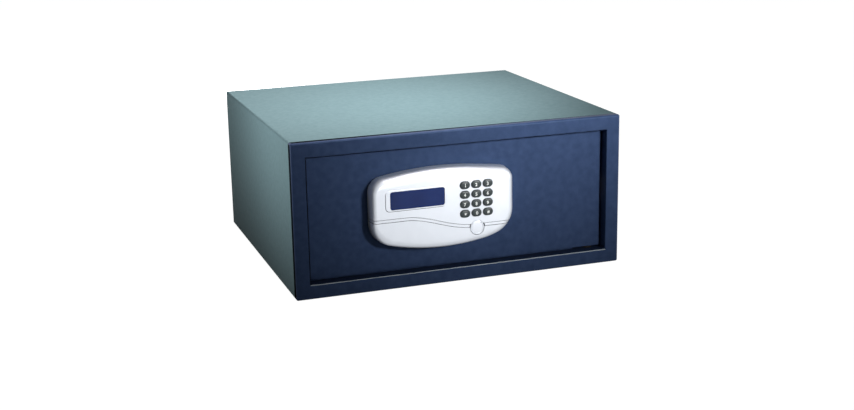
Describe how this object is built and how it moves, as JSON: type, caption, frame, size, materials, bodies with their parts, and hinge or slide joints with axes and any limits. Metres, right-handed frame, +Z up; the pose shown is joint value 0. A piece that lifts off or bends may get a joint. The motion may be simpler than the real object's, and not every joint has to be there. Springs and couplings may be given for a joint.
{
  "type": "electronic safe",
  "caption": "Steel laptop safe with a recessed hinged door, keypad and display, motor-driven bolts, emergency lock and battery box.",
  "frame": {"origin": "centre of the underside of the cabinet", "axes": "+X to the right seen from the front, +Y from the front to the back, +Z up; the door faces -Y"},
  "size_m": [0.42, 0.3822, 0.19],
  "materials": {
    "cabinet_paint": "satin powder coat",
    "door_paint": "satin powder coat",
    "zinc_steel": "zinc plated",
    "bright_steel": "bright turned steel",
    "brass": "machined",
    "felt": "needle felt",
    "cover_plastic": "fine grained",
    "black_plastic": "moulded",
    "rubber": "matte",
    "silver_plastic": "satin silver-white paint on moulded plastic",
    "key_plastic": "satin",
    "board": "solder mask",
    "wire": "soft insulation",
    "window": "tinted clear plastic",
    "display": "display glass",
    "cell_wrap": "plain sleeve",
    "red_plastic": "moulded"
  },
  "bodies": {
    "cabinet": {"cabinet_shell": "cabinet_paint", "front_frame": "door_paint", "back_panel": "cabinet_paint", "hinge_brackets": "zinc_steel", "hinge_bushes": "brass", "strike_plate": "zinc_steel", "floor_mat": "felt"},
    "door": {"door_plate": "door_paint", "door_pan": "door_paint", "inner_cover": "cover_plastic", "cover_screws": "zinc_steel", "hinge_blocks": "zinc_steel", "hinge_pins": "bright_steel", "bolt_guides": "black_plastic", "guide_studs": "zinc_steel", "stud_washers": "bright_steel", "motor_bracket": "zinc_steel", "gear_motor": "bright_steel", "motor_screws": "bright_steel", "switch_bracket": "zinc_steel", "limit_switches": "black_plastic", "battery_box": "black_plastic", "battery_contacts": "brass", "batteries": "cell_wrap", "reset_switch": "black_plastic", "override_barrel": "bright_steel", "barrel_nut": "zinc_steel", "cable_grommet": "rubber", "wiring_loom": "wire", "pad_base": "black_plastic", "pad_screws": "zinc_steel", "pad_circuit_board": "board", "pcb_parts": "black_plastic", "key_mat": "rubber", "lcd_module": "display", "display_window": "window", "pad_cover": "silver_plastic", "wave_trim": "silver_plastic"},
    "bolts": {"bolt_carriage": "zinc_steel", "live_bolts": "bright_steel", "bolt_nuts": "bright_steel"},
    "pinion": {"drive_pinion": "brass"},
    "override_key": {"override_plug": "brass", "override_cam": "zinc_steel"},
    "lock_cap": {"lock_cover_cap": "silver_plastic"},
    "battery_hatch": {"battery_lid": "cover_plastic"},
    "reset_plunger": {"reset_button": "red_plastic"},
    "button_1": {"key_1": "key_plastic"},
    "button_2": {"key_2": "key_plastic"},
    "button_3": {"key_3": "key_plastic"},
    "button_4": {"key_4": "key_plastic"},
    "button_5": {"key_5": "key_plastic"},
    "button_6": {"key_6": "key_plastic"},
    "button_7": {"key_7": "key_plastic"},
    "button_8": {"key_8": "key_plastic"},
    "button_9": {"key_9": "key_plastic"},
    "button_star": {"key_star": "key_plastic"},
    "button_0": {"key_0": "key_plastic"},
    "button_hash": {"key_hash": "key_plastic"}
  },
  "joints": [
    {"name": "door_hinge", "type": "hinge", "parent": "cabinet", "child": "door", "pos_m": [0.175, -0.1645, 0.095], "axis": [0, 0, 1], "range_deg": [0, 100]},
    {"name": "bolt_throw", "type": "slide", "parent": "door", "child": "bolts", "axis": [-1, 0, 0], "range_m": [0, 0.022]},
    {"name": "pinion_turn", "type": "hinge", "parent": "door", "child": "pinion", "pos_m": [-0.06, -0.15, 0.0775], "axis": [0, -1, 0], "range_deg": [0, 141]},
    {"name": "override_turn", "type": "hinge", "parent": "door", "child": "override_key", "pos_m": [0.015, -0.15, 0.0687], "axis": [0, -1, 0], "range_deg": [-90, 0]},
    {"name": "cap_pull", "type": "slide", "parent": "door", "child": "lock_cap", "axis": [0, -1, 0], "range_m": [0, 0.012]},
    {"name": "battery_lid_slide", "type": "slide", "parent": "door", "child": "battery_hatch", "axis": [-1, 0, 0], "range_m": [0, 0.056]},
    {"name": "reset_press", "type": "slide", "parent": "door", "child": "reset_plunger", "axis": [0, -1, 0], "range_m": [0, 0.0015], "stiffness_N_per_m": 300},
    {"name": "key_press_1", "type": "slide", "parent": "door", "child": "button_1", "axis": [0, 1, 0], "range_m": [0, 0.0015], "stiffness_N_per_m": 400},
    {"name": "key_press_2", "type": "slide", "parent": "door", "child": "button_2", "axis": [0, 1, 0], "range_m": [0, 0.0015], "stiffness_N_per_m": 400},
    {"name": "key_press_3", "type": "slide", "parent": "door", "child": "button_3", "axis": [0, 1, 0], "range_m": [0, 0.0015], "stiffness_N_per_m": 400},
    {"name": "key_press_4", "type": "slide", "parent": "door", "child": "button_4", "axis": [0, 1, 0], "range_m": [0, 0.0015], "stiffness_N_per_m": 400},
    {"name": "key_press_5", "type": "slide", "parent": "door", "child": "button_5", "axis": [0, 1, 0], "range_m": [0, 0.0015], "stiffness_N_per_m": 400},
    {"name": "key_press_6", "type": "slide", "parent": "door", "child": "button_6", "axis": [0, 1, 0], "range_m": [0, 0.0015], "stiffness_N_per_m": 400},
    {"name": "key_press_7", "type": "slide", "parent": "door", "child": "button_7", "axis": [0, 1, 0], "range_m": [0, 0.0015], "stiffness_N_per_m": 400},
    {"name": "key_press_8", "type": "slide", "parent": "door", "child": "button_8", "axis": [0, 1, 0], "range_m": [0, 0.0015], "stiffness_N_per_m": 400},
    {"name": "key_press_9", "type": "slide", "parent": "door", "child": "button_9", "axis": [0, 1, 0], "range_m": [0, 0.0015], "stiffness_N_per_m": 400},
    {"name": "key_press_star", "type": "slide", "parent": "door", "child": "button_star", "axis": [0, 1, 0], "range_m": [0, 0.0015], "stiffness_N_per_m": 400},
    {"name": "key_press_0", "type": "slide", "parent": "door", "child": "button_0", "axis": [0, 1, 0], "range_m": [0, 0.0015], "stiffness_N_per_m": 400},
    {"name": "key_press_hash", "type": "slide", "parent": "door", "child": "button_hash", "axis": [0, 1, 0], "range_m": [0, 0.0015], "stiffness_N_per_m": 400}
  ],
  "couplings": [
    {"joint": "pinion_turn", "follows": "bolt_throw", "rad_per_m": 111.11}
  ]
}
